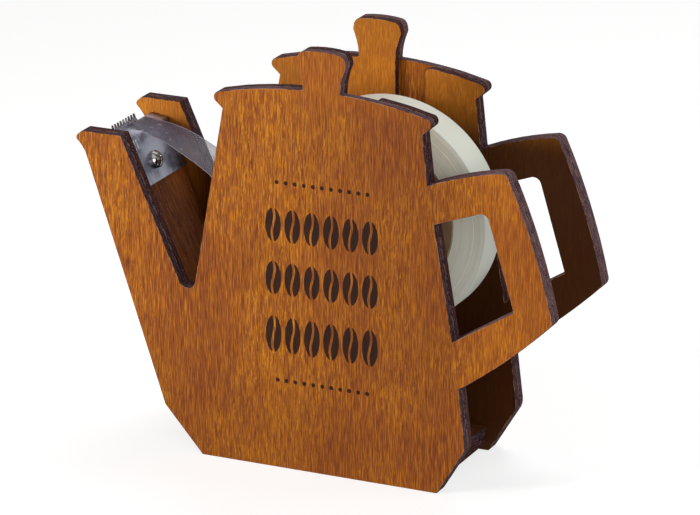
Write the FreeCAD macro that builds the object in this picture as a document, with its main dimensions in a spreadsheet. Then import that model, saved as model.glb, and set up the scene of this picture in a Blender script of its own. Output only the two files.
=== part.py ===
"""Plywood tape dispenser in the outline of a pouring pot, as a parametric document.

Two double-ply walls stand on edge with a chamber between them. A neck board slopes up between
the two spouts and carries the cutter; the roll hangs on a dowel that drops into open slots.
Frame: X along the length with the spout at -X, the front face at -Y, Z up from the table.
"""

import FreeCAD, Part
import math
import os
import Sketcher

V = FreeCAD.Vector
doc = FreeCAD.newDocument("tape_dispenser")

# ---------------------------------------------------------------- driving dimensions, mm
SIZES = {
    "ply": (4.0, "one plywood layer"),
    "chamber_half": (24.0, "middle of the chamber to an inner panel"),
    # spout, measured from the frame centre and from the table
    "spout_reach": (111.4, "centre to the spout tip before rounding"),
    "shoulder_height": (157.7, "table to the shoulder under the lid rim"),
    "spout_below": (18.4, "spout top edge below the shoulder"),
    "tip_drop": (3.2, "tip below the spout top edge"),
    "tip_run": (3.7, "tip to where the flat top edge starts"),
    "lip_run": (6.1, "tip to the root of the pouring lip"),
    "lip_drop": (11.9, "spout top edge to the root of the pouring lip"),
    "lip_hollow": (16.0, "radius of the hollow under the tip"),
    "tip_round": (1.6, "radius of the tip"),
    "spout_mouth": (22.3, "width of the spout's top edge from the tip"),
    "crotch_left": (56.4, "centre to the point of the gap beside the spout"),
    "crotch_below": (92.0, "that point below the shoulder"),
    "crotch_round": (4.0, "radius at the bottom of the gap"),
    # base
    "foot_left": (51.5, "centre to the left end of the foot"),
    "foot_right": (59.1, "centre to the right end of the foot"),
    "toe_run": (17.8, "left chamfer, along X"),
    "toe_rise": (20.4, "left chamfer, along Z"),
    "heel_run": (13.0, "right chamfer, along X"),
    "heel_rise": (21.5, "right chamfer, along Z"),
    "heel_round": (8.0, "radius over the right chamfer"),
    # lid and knob
    "lid_x": (5.6, "middle of the lid"),
    "shoulder_half": (46.05, "half width at the shoulder"),
    "rim_half": (52.9, "half width of the lid rim before rounding"),
    "rim_rise": (6.0, "rim corner above the shoulder"),
    "rim_round": (2.5, "radius of the rim"),
    "notch_half": (38.3, "half width where the dome starts"),
    "notch_rise": (9.3, "dome start above the shoulder"),
    "dome_radius": (210.0, "radius of the dome"),
    "knob_neck_half": (8.6, "half width of the knob's neck"),
    "knob_neck_rise": (12.6, "knob's neck above the shoulder"),
    "knob_flare": (30.0, "radius of the hollow beside the knob"),
    "knob_half": (11.4, "half width of the knob"),
    "knob_wide_rise": (24.6, "widest place of the knob above the shoulder"),
    "knob_top_half": (10.4, "half width of the knob's top before rounding"),
    "knob_top_rise": (29.2, "knob's top corners above the shoulder"),
    "knob_crown": (54.0, "radius of the knob's top"),
    "knob_round": (3.4, "radius of the knob's top corners"),
    "knob_side_round": (2.5, "radius at the knob's widest place"),
    # handle
    "handle_reach": (110.84, "centre to the handle's outer corner before rounding"),
    "handle_root_x": (54.1, "centre to the handle's upper root"),
    "handle_root_below": (21.7, "upper root below the shoulder"),
    "handle_back": (21.5, "upper corner back from the outer corner"),
    "handle_top_below": (11.7, "upper corner below the shoulder"),
    "handle_round": (3.5, "radius of the handle's corners"),
    "handle_top_radius": (145.0, "radius of the handle's top edge"),
    "handle_side_radius": (285.0, "radius of the handle's outer edge"),
    "handle_low_radius": (260.0, "radius of the handle's lower edge"),
    "handle_corner_below": (74.8, "outer corner below the shoulder"),
    "handle_seat_x": (68.8, "centre to the handle's lower root"),
    "handle_seat_rise": (26.8, "lower root above the right chamfer"),
    "grip_root": (3.0, "hole beyond the upper root"),
    "grip_top_below": (38.3, "hole's upper left corner below the shoulder"),
    "grip_back": (30.1, "hole's upper right corner back from the reach"),
    "grip_corner_below": (29.8, "hole's upper right corner below the shoulder"),
    "grip_low_back": (17.5, "hole's lower right corner back from the reach"),
    "grip_low_below": (71.7, "hole's lower right corner below the shoulder"),
    "grip_seat_in": (3.0, "hole's lower left corner in from the lower root"),
    "grip_seat_rise": (20.7, "hole's lower left corner above the lower root"),
    # roll, hub and axle
    "roll_x": (20.5, "roll axis from the centre"),
    "roll_below": (47.1, "roll axis below the shoulder"),
    "tape_half": (9.0, "half width of the tape"),
    "roll_radius": (49.8, "outside of the wound tape"),
    "core_radius": (34.5, "inside of the cardboard core"),
    "core_wall": (1.0, "cardboard core"),
    "core_fit": (0.2, "hub inside the core, all round"),
    "axle_radius": (4.0, "dowel"),
    "bore_fit": (0.05, "hub and spacers on the dowel"),
    "slot_fit": (0.3, "dowel in the slots, and its ends to the outer panels"),
    "slot_mouth_half": (7.6, "axle to the slot's outer side at the lid"),
    "slot_funnel_below": (8.0, "funnel's top below the shoulder"),
    "slot_funnel_rise": (9.0, "height of the funnel"),
    "slot_corner_round": (2.5, "rounding of the slot's outer corner at the lid"),
    "spacer_radius": (9.0, "spacers on the dowel"),
    "side_fit": (0.3, "spacers to the hub and to the inner panels"),
    # base boards
    "base_lift": (3.4, "underside of the base boards"),
    "base_beyond": (7.0, "their left end beyond the neck board's lowest corner"),
    "base_right": (58.0, "centre to their right end"),
    "tab_half": (10.0, "half length of the tabs through the inner panels"),
    "tab_left": (30.0, "centre to the left tab's middle"),
    "tab_right": (38.0, "centre to the right tab's middle"),
    "tab_fit": (0.1, "mortise round a tab"),
    # neck board and cutter
    "neck_recess": (9.0, "neck board behind the spout's inner edge"),
    "neck_drop": (4.9, "top of the neck board down that edge"),
    "backer_length": (42.0, "backing ply along the neck"),
    "blade_thickness": (1.0, "steel of the cutter"),
    "blade_side_gap": (0.5, "cutter to each inner panel"),
    "blade_length": (22.5, "sloping part of the cutter"),
    "land_length": (8.0, "flat land of the cutter"),
    "land_angle": (58.0, "bend between sloping part and land"),
    "lip_length": (2.6, "toothed lip of the cutter"),
    "lip_angle": (23.0, "lip against the sloping part"),
    "tooth_pitch": (2.4, "from tooth to tooth"),
    "tooth_depth": (1.7, "depth of the notches"),
    "tooth_half": (0.9, "half width of a notch at the edge"),
    "tooth_notches": (11, "number of notches"),
    "screw_down": (13.0, "screw below the cutter's bend"),
    "screw_radius": (1.9, "shank of the screw"),
    "screw_fit": (0.1, "holes round the screw"),
    "head_radius": (3.7, "pan head"),
    "head_height": (2.2, "pan head"),
    "head_rim": (0.8, "straight edge of the pan head"),
    "head_crown": (5.6, "radius of the pan head's top"),
    "screw_length": (8.6, "under the head"),
    "screw_point": (2.0, "cone at the end of the screw"),
    "recess_arm": (2.1, "half length of the cross recess"),
    "recess_half": (0.45, "half width of the cross recess"),
    "recess_depth": (1.2, "depth of the cross recess"),
    # free end of the tape
    "film_thickness": (0.3, "free tape, thicker than the real film"),
    "film_gap": (0.3, "free tape to the roll and to the land"),
    "film_straight": (23.0, "straight run before the tape meets the roll"),
    "film_back": (0.6, "end of the tape back from the lip"),
}

sheet = doc.addObject("Spreadsheet::Sheet", "Sizes")
for row, (alias, (value, note)) in enumerate(SIZES.items(), start=1):
    sheet.set(f"A{row}", note)
    sheet.set(f"B{row}", str(value))
    sheet.setAlias(f"B{row}", alias)
doc.recompute()

SPOT = 0.001  # how near an edge lies to the corner it is asked for
pieces = []


def size(alias):
    return float(getattr(sheet, alias))


# The neck runs parallel to the spout's inner edge. Its own frame has X down the slope, Y across
# and Z out of the board, and its origin is the inner end of the spout's top edge.
NECK_LEAN = (
    "atan((Sizes.spout_reach - Sizes.spout_mouth - Sizes.crotch_left)"
    " / (Sizes.crotch_below - Sizes.spout_below))"
)
NECK_FOOT = (
    "(Sizes.shoulder_height - Sizes.spout_below - Sizes.base_lift - 2 * Sizes.ply"
    f" - (Sizes.neck_recess + Sizes.ply) * sin({NECK_LEAN})) / cos({NECK_LEAN})"
)
NECK_FOOT_LEFT = (
    f"Sizes.spout_reach - Sizes.spout_mouth - {NECK_FOOT} * sin({NECK_LEAN})"
    f" + (Sizes.neck_recess + Sizes.ply) * cos({NECK_LEAN})"
)
lean = math.atan2(
    size("spout_reach") - size("spout_mouth") - size("crotch_left"),
    size("crotch_below") - size("spout_below"),
)
neck_depth = size("neck_recess") + size("ply")
neck_height = size("shoulder_height") - size("spout_below") - size("base_lift") - 2 * size("ply")
neck_foot = (neck_height - neck_depth * math.sin(lean)) / math.cos(lean)

# Lengths that follow from the sizes: a number to draw with and the expression that binds it.
FOLLOWS = {
    "neck_foot_left": (
        size("spout_reach") - size("spout_mouth") - neck_foot * math.sin(lean) + neck_depth * math.cos(lean),
        NECK_FOOT_LEFT,
    ),
}


def total(terms):
    """A sum of signed names, such as '-foot_left -toe_run', as a number and an expression."""
    value = 0.0
    expression = ""
    for term in terms.split():
        alias = term.lstrip("+-")
        minus = term.startswith("-")
        number, formula = FOLLOWS[alias] if alias in FOLLOWS else (size(alias), "Sizes." + alias)
        value += -number if minus else number
        expression += f" {'-' if minus else '+'} ({formula})"
    return value, expression.strip(" +")


# ---------------------------------------------------------------- sketches and features
def new_body(label):
    body = doc.addObject("PartDesign::Body", label)
    body.Label = label
    pieces.append(body)
    return body


def sketch_on(body, plane, name):
    sketch = body.newObject("Sketcher::SketchObject", name)
    role = [f for f in body.Origin.OriginFeatures if f.Role == plane][0]
    sketch.AttachmentSupport = [(role, "")]
    sketch.MapMode = "FlatFace"
    return sketch


def bind(sketch, constraint, expression):
    index = sketch.addConstraint(constraint)
    sketch.setExpression(f"Constraints[{index}]", expression)


def pin(sketch, geometry, point, terms, across):
    """Fix one coordinate of a point at a sum of sizes from the sketch's origin."""
    kind = "DistanceX" if across else "DistanceY"
    value, expression = total(terms)
    if terms == "":
        sketch.addConstraint(Sketcher.Constraint("PointOnObject", geometry, point, -2 if across else -1))
    else:
        bind(sketch, Sketcher.Constraint(kind, -1, 1, geometry, point, value), expression)


def outline(sketch, corners):
    """Closed profile. Each corner is (x terms, y terms) and may end with radius terms and the side,
    +1 for left or -1 for right, on which the centre of its arc to the next corner lies."""
    spots = [V(total(c[0])[0], total(c[1])[0], 0) for c in corners]
    ends = []
    for index, corner in enumerate(corners):
        a = spots[index]
        b = spots[(index + 1) % len(spots)]
        if len(corner) == 2:
            ends.append((sketch.addGeometry(Part.LineSegment(a, b)), 1, 2))
            continue
        radius = total(corner[2])[0]
        chord = b - a
        left = V(-chord.y, chord.x, 0).normalize()
        rise = math.sqrt(radius ** 2 - (chord.Length / 2) ** 2)
        centre = (a + b) / 2 + left * rise * corner[3]
        first, last = (a, b) if corner[3] > 0 else (b, a)
        begin = math.atan2(first.y - centre.y, first.x - centre.x)
        finish = math.atan2(last.y - centre.y, last.x - centre.x)
        if finish < begin:
            finish += 2 * math.pi
        arc = Part.ArcOfCircle(Part.Circle(centre, V(0, 0, 1), radius), begin, finish)
        geometry = sketch.addGeometry(arc)
        ends.append((geometry, 1, 2) if corner[3] > 0 else (geometry, 2, 1))
    for index, (geometry, start, _) in enumerate(ends):
        before = ends[index - 1]
        sketch.addConstraint(Sketcher.Constraint("Coincident", before[0], before[2], geometry, start))
        pin(sketch, geometry, start, corners[index][0], True)
        pin(sketch, geometry, start, corners[index][1], False)
        if len(corners[index]) > 2:
            radius, expression = total(corners[index][2])
            bind(sketch, Sketcher.Constraint("Radius", geometry, radius), expression)


def disc(sketch, radius_terms, centre=("", "")):
    circle = Part.Circle(V(total(centre[0])[0], total(centre[1])[0], 0), V(0, 0, 1), total(radius_terms)[0])
    geometry = sketch.addGeometry(circle)
    bind(sketch, Sketcher.Constraint("Radius", geometry, circle.Radius), total(radius_terms)[1])
    pin(sketch, geometry, 3, centre[0], True)
    pin(sketch, geometry, 3, centre[1], False)


def pad(body, sketch, length, middle=False):
    feature = body.newObject("PartDesign::Pad", sketch.Name + "_pad")
    feature.Profile = sketch
    feature.setExpression("Length", length)
    feature.Midplane = middle
    doc.recompute()
    return feature


def cut_through(body, sketch):
    """Pocket both ways from the sketch, checked to take material away."""
    before = body.Shape.Volume
    feature = body.newObject("PartDesign::Pocket", sketch.Name + "_pocket")
    feature.Profile = sketch
    feature.Type = "ThroughAll"
    feature.Midplane = True
    doc.recompute()
    if body.Shape.Volume >= before:
        raise RuntimeError(sketch.Name + " cuts nothing")
    return feature


def edges_near(shape, spots):
    """Names of the edges that run along Y through the given (x, z) spots."""
    names = []
    for number, edge in enumerate(shape.Edges, start=1):
        a = edge.Vertexes[0].Point
        b = edge.Vertexes[-1].Point
        if abs(a.y - b.y) < SPOT:
            continue
        for x, z in spots:
            if max(abs(a.x - x), abs(b.x - x), abs(a.z - z), abs(b.z - z)) < SPOT:
                names.append(f"Edge{number}")
    return names


def round_corners(body, radius_name, spots):
    tip = body.Tip
    names = edges_near(tip.Shape, spots)
    if len(names) != len(spots):
        raise RuntimeError(f"{body.Label}: {radius_name} found {len(names)} of {len(spots)} corners")
    fillet = body.newObject("PartDesign::Fillet", f"{body.Name}_{radius_name}")
    fillet.Base = (tip, names)
    fillet.setExpression("Radius", "Sizes." + radius_name)
    doc.recompute()


# ---------------------------------------------------------------- side walls
# Corners of the pot, clockwise from the left end of the foot.
FOOT_LEFT = ("-foot_left", "")
TOE = ("-foot_left -toe_run", "+toe_rise")
LIP_ROOT = ("-spout_reach +lip_run", "+shoulder_height -spout_below -lip_drop")
TIP = ("-spout_reach", "+shoulder_height -spout_below -tip_drop")
TIP_TOP = ("-spout_reach +tip_run", "+shoulder_height -spout_below")
MOUTH = ("-spout_reach +spout_mouth", "+shoulder_height -spout_below")
CROTCH = ("-crotch_left", "+shoulder_height -crotch_below")
SHOULDER_LEFT = ("+lid_x -shoulder_half", "+shoulder_height")
RIM_LEFT = ("+lid_x -rim_half", "+shoulder_height +rim_rise")
NOTCH_LEFT = ("+lid_x -notch_half", "+shoulder_height +notch_rise")
NECK_LEFT = ("+lid_x -knob_neck_half", "+shoulder_height +knob_neck_rise")
KNOB_LEFT = ("+lid_x -knob_half", "+shoulder_height +knob_wide_rise")
TOP_LEFT = ("+lid_x -knob_top_half", "+shoulder_height +knob_top_rise")
TOP_RIGHT = ("+lid_x +knob_top_half", "+shoulder_height +knob_top_rise")
KNOB_RIGHT = ("+lid_x +knob_half", "+shoulder_height +knob_wide_rise")
NECK_RIGHT = ("+lid_x +knob_neck_half", "+shoulder_height +knob_neck_rise")
NOTCH_RIGHT = ("+lid_x +notch_half", "+shoulder_height +notch_rise")
RIM_RIGHT = ("+lid_x +rim_half", "+shoulder_height +rim_rise")
SHOULDER_RIGHT = ("+lid_x +shoulder_half", "+shoulder_height")
HANDLE_ROOT = ("+handle_root_x", "+shoulder_height -handle_root_below")
HANDLE_TOP = ("+handle_reach -handle_back", "+shoulder_height -handle_top_below")
HANDLE_CORNER = ("+handle_reach", "+shoulder_height -handle_corner_below")
HANDLE_SEAT = ("+handle_seat_x", "+heel_rise +handle_seat_rise")
HEEL = ("+foot_right +heel_run", "+heel_rise")
FOOT_RIGHT = ("+foot_right", "")

POT = [
    FOOT_LEFT,
    TOE,
    LIP_ROOT + ("+lip_hollow", 1),
    TIP,
    TIP_TOP,
    MOUTH,
    CROTCH,
    SHOULDER_LEFT,
    RIM_LEFT,
    NOTCH_LEFT + ("+dome_radius", -1),
    NECK_LEFT + ("+knob_flare", 1),
    KNOB_LEFT,
    TOP_LEFT + ("+knob_crown", -1),
    TOP_RIGHT,
    KNOB_RIGHT + ("+knob_flare", 1),
    NECK_RIGHT + ("+dome_radius", -1),
    NOTCH_RIGHT,
    RIM_RIGHT,
    SHOULDER_RIGHT,
    HANDLE_ROOT + ("+handle_top_radius", -1),
    HANDLE_TOP + ("+handle_side_radius", -1),
    HANDLE_CORNER + ("+handle_low_radius", -1),
    HANDLE_SEAT,
    HEEL,
    FOOT_RIGHT,
]

GRIP_TOP_LEFT = ("+handle_root_x +grip_root", "+shoulder_height -grip_top_below")
GRIP_TOP_RIGHT = ("+handle_reach -grip_back", "+shoulder_height -grip_corner_below")
GRIP_LOW_RIGHT = ("+handle_reach -grip_low_back", "+shoulder_height -grip_low_below")
GRIP_LOW_LEFT = ("+handle_seat_x -grip_seat_in", HANDLE_SEAT[1] + " +grip_seat_rise")


def at(*corners):
    return [(total(c[0])[0], total(c[1])[0]) for c in corners]


def place_on_neck(body, down="0", out="0"):
    """Lean a body on the neck, so far down the slope and out of the spout's inner edge."""
    body.Placement.Rotation = FreeCAD.Rotation(V(0, 1, 0), 1.0)
    body.setExpression("Placement.Rotation.Angle", f"90 deg - {NECK_LEAN}")
    body.setExpression(
        "Placement.Base.x",
        f"-Sizes.spout_reach + Sizes.spout_mouth + ({down}) * sin({NECK_LEAN}) + ({out}) * cos({NECK_LEAN})",
    )
    body.setExpression(
        "Placement.Base.z",
        f"Sizes.shoulder_height - Sizes.spout_below - ({down}) * cos({NECK_LEAN}) + ({out}) * sin({NECK_LEAN})",
    )
    doc.recompute()


def side_panel(label, back_face, slotted):
    """One ply of a wall. It is padded from Y 0 to -ply and moved so that its back is at back_face."""
    body = new_body(label)
    pot = sketch_on(body, "XZ_Plane", label + "_pot")
    outline(pot, POT)
    pad(body, pot, "Sizes.ply")
    grip = sketch_on(body, "XZ_Plane", label + "_grip")
    outline(grip, [GRIP_TOP_LEFT, GRIP_TOP_RIGHT, GRIP_LOW_RIGHT, GRIP_LOW_LEFT])
    cut_through(body, grip)
    if slotted:
        slot = sketch_on(body, "XZ_Plane", label + "_slot")
        outline(slot, axle_slot())
        cut_through(body, slot)
        mortises = sketch_on(body, "XZ_Plane", label + "_mortises")
        for middle in ("-tab_left", "+tab_right"):
            mortise(mortises, middle)
        cut_through(body, mortises)
    round_corners(body, "rim_round", at(RIM_LEFT, RIM_RIGHT))
    round_corners(body, "knob_side_round", at(KNOB_LEFT, KNOB_RIGHT))
    round_corners(body, "knob_round", at(TOP_LEFT, TOP_RIGHT))
    round_corners(body, "crotch_round", at(CROTCH))
    round_corners(body, "tip_round", at(TIP, TIP_TOP))
    round_corners(body, "heel_round", at(HEEL))
    round_corners(body, "handle_round", at(HANDLE_TOP, HANDLE_CORNER, GRIP_TOP_RIGHT))
    if slotted:
        round_slot_corner(body)
    body.setExpression("Placement.Base.y", back_face)
    doc.recompute()


def axle_slot():
    """Channel for the dowel with a funnel above it, open through the lid beside the knob."""
    seat_z = "+shoulder_height -roll_below"
    funnel_z = "+shoulder_height -slot_funnel_below"
    throat_z = funnel_z + " -slot_funnel_rise"
    open_z = "+shoulder_height +knob_neck_rise"
    channel_left = "+roll_x -axle_radius -slot_fit"
    channel_right = "+roll_x +axle_radius +slot_fit"
    mouth_left = "+lid_x +knob_neck_half"
    mouth_right = "+roll_x +slot_mouth_half"
    return [
        (channel_right, seat_z),
        (channel_right, throat_z),
        (mouth_right, funnel_z),
        (mouth_right, open_z),
        (mouth_left, open_z),
        (mouth_left, funnel_z),
        (channel_left, throat_z),
        (channel_left, seat_z, "+axle_radius +slot_fit", 1),
        ("+roll_x", seat_z + " -axle_radius -slot_fit", "+axle_radius +slot_fit", 1),
    ]


def round_slot_corner(body):
    """Round the lid's edge where it meets the slot's outer side."""
    side = size("roll_x") + size("slot_mouth_half")
    heights = [v.Point.z for v in body.Tip.Shape.Vertexes if abs(v.Point.x - side) < SPOT]
    round_corners(body, "slot_corner_round", [(side, max(heights))])


def mortise(sketch, middle):
    """Opening in an inner panel for the stacked tabs of the two base boards."""
    low = "+base_lift -tab_fit"
    high = "+base_lift +ply +ply +tab_fit"
    left = middle + " -tab_half -tab_fit"
    right = middle + " +tab_half +tab_fit"
    outline(sketch, [(left, low), (left, high), (right, high), (right, low)])


side_panel("side_panel_front", "-Sizes.chamber_half - Sizes.ply", False)
side_panel("slot_panel_front", "-Sizes.chamber_half", True)
side_panel("slot_panel_rear", "Sizes.chamber_half + Sizes.ply", True)
side_panel("side_panel_rear", "Sizes.chamber_half + 2 * Sizes.ply", False)


# ---------------------------------------------------------------- base boards
def board_edge(side, tabs):
    """Corners along one long edge, side '+' or '-', through the tabs in the given order."""
    other = "-" if side == "+" else "+"
    edge = side + "chamber_half"
    corners = []
    for middle in tabs:
        corners.append((f"{middle} {side}tab_half", edge))
        corners.append((f"{middle} {side}tab_half", f"{edge} {side}ply"))
        corners.append((f"{middle} {other}tab_half", f"{edge} {side}ply"))
        corners.append((f"{middle} {other}tab_half", edge))
    return corners


def base_board(label, lift):
    body = new_body(label)
    plan = sketch_on(body, "XY_Plane", label + "_plan")
    corners = [("-neck_foot_left -base_beyond", "-chamber_half")]
    corners += board_edge("-", ["-tab_left", "+tab_right"])
    corners += [("+base_right", "-chamber_half"), ("+base_right", "+chamber_half")]
    corners += board_edge("+", ["+tab_right", "-tab_left"])
    corners += [("-neck_foot_left -base_beyond", "+chamber_half")]
    outline(plan, corners)
    pad(body, plan, "Sizes.ply")
    body.setExpression("Placement.Base.z", lift)
    doc.recompute()


base_board("base_board_lower", "Sizes.base_lift")
base_board("base_board_upper", "Sizes.base_lift + Sizes.ply")


# ---------------------------------------------------------------- neck board and its backing
def screw_hole(body):
    hole = sketch_on(body, "XY_Plane", body.Name + "_screw_hole")
    disc(hole, "+screw_radius +screw_fit", ("+screw_down", ""))
    cut_through(body, hole)


def neck_ply(label, length, out):
    """Board that fills the chamber's width, padded down the slope from the neck's upper end."""
    body = new_body(label)
    section = sketch_on(body, "YZ_Plane", label + "_section")
    half = "chamber_half"
    outline(section, [("+" + half, ""), ("+" + half, "+ply"), ("-" + half, "+ply"), ("-" + half, "")])
    pad(body, section, length)
    screw_hole(body)
    place_on_neck(body, "Sizes.neck_drop", out)


neck_ply("neck_board", f"{NECK_FOOT} - Sizes.neck_drop", "-Sizes.neck_recess - Sizes.ply")
neck_ply("neck_backer", "Sizes.backer_length", "-Sizes.neck_recess - 2 * Sizes.ply")


# ---------------------------------------------------------------- cutter
def cutter_section(sketch):
    """Bent sheet: up the neck to the board's end, over it as a land, and out as a lip. The inside
    of the first bend sits on the board's upper front edge, which is the sketch's origin."""
    thick = size("blade_thickness")
    land = math.radians(size("land_angle"))
    lip = math.radians(size("lip_angle"))
    middle = (land + lip) / 2
    bend = V(-thick * math.tan(land / 2), thick, 0)
    foot = bend + V(size("blade_length"), 0, 0)
    brow = bend - V(math.cos(land), math.sin(land), 0) * size("land_length")
    edge = brow - V(math.cos(lip), math.sin(lip), 0) * size("lip_length")
    edge_under = edge + V(math.sin(lip), -math.cos(lip), 0) * thick
    brow_under = brow + V(math.sin(middle), -math.cos(middle), 0) * (thick / math.cos((land - lip) / 2))
    foot_under = V(foot.x, 0, 0)
    spots = [foot, bend, brow, edge, edge_under, brow_under, V(0, 0, 0), foot_under]
    for a, b in zip(spots, spots[1:] + spots[:1]):
        sketch.addGeometry(Part.LineSegment(a, b))
    SLOPE, LAND, LIP, EDGE, LIP_UNDER, LAND_UNDER, SLOPE_UNDER, FOOT = range(8)
    for line in range(8):
        sketch.addConstraint(Sketcher.Constraint("Coincident", line - 1 if line else FOOT, 2, line, 1))
    sketch.addConstraint(Sketcher.Constraint("Horizontal", SLOPE))
    sketch.addConstraint(Sketcher.Constraint("Horizontal", SLOPE_UNDER))
    sketch.addConstraint(Sketcher.Constraint("Vertical", FOOT))
    sketch.addConstraint(Sketcher.Constraint("Perpendicular", EDGE, LIP))
    sketch.addConstraint(Sketcher.Constraint("Parallel", LIP_UNDER, LIP))
    sketch.addConstraint(Sketcher.Constraint("Parallel", LAND_UNDER, LAND))
    sketch.addConstraint(Sketcher.Constraint("Coincident", SLOPE_UNDER, 1, -1, 1))
    for line, length in ((SLOPE, "blade_length"), (LAND, "land_length"), (LIP, "lip_length")):
        bind(sketch, Sketcher.Constraint("Distance", line, size(length)), "Sizes." + length)
    for line, angle in ((LAND, "land_angle"), (LIP, "lip_angle")):
        value = math.radians(size(angle) - 180)
        bind(sketch, Sketcher.Constraint("Angle", line, value), f"(Sizes.{angle} - 180) * 1 deg")
    for line in (EDGE, FOOT):
        bind(sketch, Sketcher.Constraint("Distance", line, thick), "Sizes.blade_thickness")
    bind(sketch, Sketcher.Constraint("Distance", LAND_UNDER, 1, LAND, thick), "Sizes.blade_thickness")
    return brow


def cutter_blade():
    body = new_body("cutter_blade")
    section = sketch_on(body, "XZ_Plane", "cutter_section")
    brow = cutter_section(section)
    pad(body, section, "2 * (Sizes.chamber_half - Sizes.blade_side_gap)", True)
    screw_hole(body)

    # One notch at the end of the lip, repeated across the middle of the blade.
    edge_x = min(v.Point.x for v in body.Shape.Vertexes)
    notch = sketch_on(body, "XY_Plane", "cutter_notch")
    first = -size("tooth_pitch") * (size("tooth_notches") - 1) / 2
    spots = [
        V(edge_x - SPOT, first - size("tooth_half"), 0),
        V(edge_x - SPOT, first + size("tooth_half"), 0),
        V(edge_x + size("tooth_depth"), first, 0),
    ]
    for a, b in zip(spots, spots[1:] + spots[:1]):
        notch.addGeometry(Part.LineSegment(a, b))
    for line in range(3):
        notch.addConstraint(Sketcher.Constraint("Coincident", (line + 2) % 3, 2, line, 1))
    notch.addConstraint(Sketcher.Constraint("Vertical", 0))
    notch.addConstraint(Sketcher.Constraint("Equal", 1, 2))
    bind(notch, Sketcher.Constraint("Distance", 0, 2 * size("tooth_half")), "2 * Sizes.tooth_half")
    across = "-Sizes.tooth_pitch * (Sizes.tooth_notches - 1) / 2"
    bind(notch, Sketcher.Constraint("DistanceY", -1, 1, 2, 1, first), across)
    bind(notch, Sketcher.Constraint("Distance", 2, 1, 0, size("tooth_depth")), "Sizes.tooth_depth")
    notch.addConstraint(Sketcher.Constraint("DistanceX", -1, 1, 2, 1, spots[2].x))
    pocket = cut_through(body, notch)
    teeth = body.newObject("PartDesign::LinearPattern", "cutter_teeth")
    teeth.Originals = [pocket]
    teeth.Direction = (notch, ["V_Axis"])
    teeth.setExpression("Length", "Sizes.tooth_pitch * (Sizes.tooth_notches - 1)")
    teeth.setExpression("Occurrences", "Sizes.tooth_notches")
    body.Tip = teeth
    place_on_neck(body, "Sizes.neck_drop", "-Sizes.neck_recess")
    return body.Placement.multVec(V(brow.x, 0, brow.y)), body.Placement


brow, neck_frame = cutter_blade()


def cutter_screw():
    body = new_body("cutter_screw")
    half = sketch_on(body, "XZ_Plane", "screw_half")
    outline(half, [
        ("", "-screw_length"),
        ("+screw_radius", "-screw_length +screw_point"),
        ("+screw_radius", ""),
        ("+head_radius", ""),
        ("+head_radius", "+head_rim", "+head_crown", 1),
        ("", "+head_height"),
    ])
    turned = body.newObject("PartDesign::Revolution", "screw_turned")
    turned.Profile = half
    turned.ReferenceAxis = (half, ["V_Axis"])
    turned.Angle = 360
    doc.recompute()
    before = body.Shape.Volume
    cross = sketch_on(body, "XY_Plane", "screw_cross")
    cross.setExpression("AttachmentOffset.Base.z", "Sizes.head_height")
    arm = "recess_arm"
    half = "recess_half"
    outline(cross, [
        ("+" + arm, "-" + half), ("+" + arm, "+" + half), ("+" + half, "+" + half),
        ("+" + half, "+" + arm), ("-" + half, "+" + arm), ("-" + half, "+" + half),
        ("-" + arm, "+" + half), ("-" + arm, "-" + half), ("-" + half, "-" + half),
        ("-" + half, "-" + arm), ("+" + half, "-" + arm), ("+" + half, "-" + half),
    ])
    recess = body.newObject("PartDesign::Pocket", "screw_recess")
    recess.Profile = cross
    recess.setExpression("Length", "Sizes.recess_depth")
    doc.recompute()
    if body.Shape.Volume >= before:
        raise RuntimeError("the cross recess cuts nothing")
    place_on_neck(body, "Sizes.neck_drop + Sizes.screw_down", "-Sizes.neck_recess + Sizes.blade_thickness")


cutter_screw()


# ---------------------------------------------------------------- roll, hub and axle
ROLL_AXIS = ("+roll_x", "+shoulder_height -roll_below")


def round_part(label, outer, bore, back_face, length):
    """Disc, tube or dowel about the roll axis; its rear end lies at back_face."""
    body = new_body(label)
    section = sketch_on(body, "XZ_Plane", label + "_section")
    disc(section, outer, ROLL_AXIS)
    if bore:
        disc(section, bore, ROLL_AXIS)
    pad(body, section, length)
    body.setExpression("Placement.Base.y", back_face)
    doc.recompute()


HUB = "+core_radius -core_fit"
BORE = "+axle_radius +bore_fit"
SPACER_LENGTH = "Sizes.chamber_half - Sizes.tape_half - 2 * Sizes.side_fit"
axle_end = "Sizes.chamber_half + Sizes.ply - Sizes.slot_fit"
round_part("axle", "+axle_radius", None, axle_end, f"2 * ({axle_end})")
round_part("spacer_front", "+spacer_radius", BORE, "-Sizes.tape_half - Sizes.side_fit", SPACER_LENGTH)
round_part("spacer_rear", "+spacer_radius", BORE, "Sizes.chamber_half - Sizes.side_fit", SPACER_LENGTH)
round_part("hub_disc_front", HUB, BORE, "-Sizes.tape_half + Sizes.ply", "Sizes.ply")
round_part("hub_drum", HUB, BORE, "Sizes.tape_half - Sizes.ply", "2 * (Sizes.tape_half - Sizes.ply)")
round_part("hub_disc_rear", HUB, BORE, "Sizes.tape_half", "Sizes.ply")
round_part("tape_core", "+core_radius +core_wall", "+core_radius", "Sizes.tape_half", "2 * Sizes.tape_half")
round_part("tape_roll", "+roll_radius", "+core_radius +core_wall", "Sizes.tape_half", "2 * Sizes.tape_half")


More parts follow.
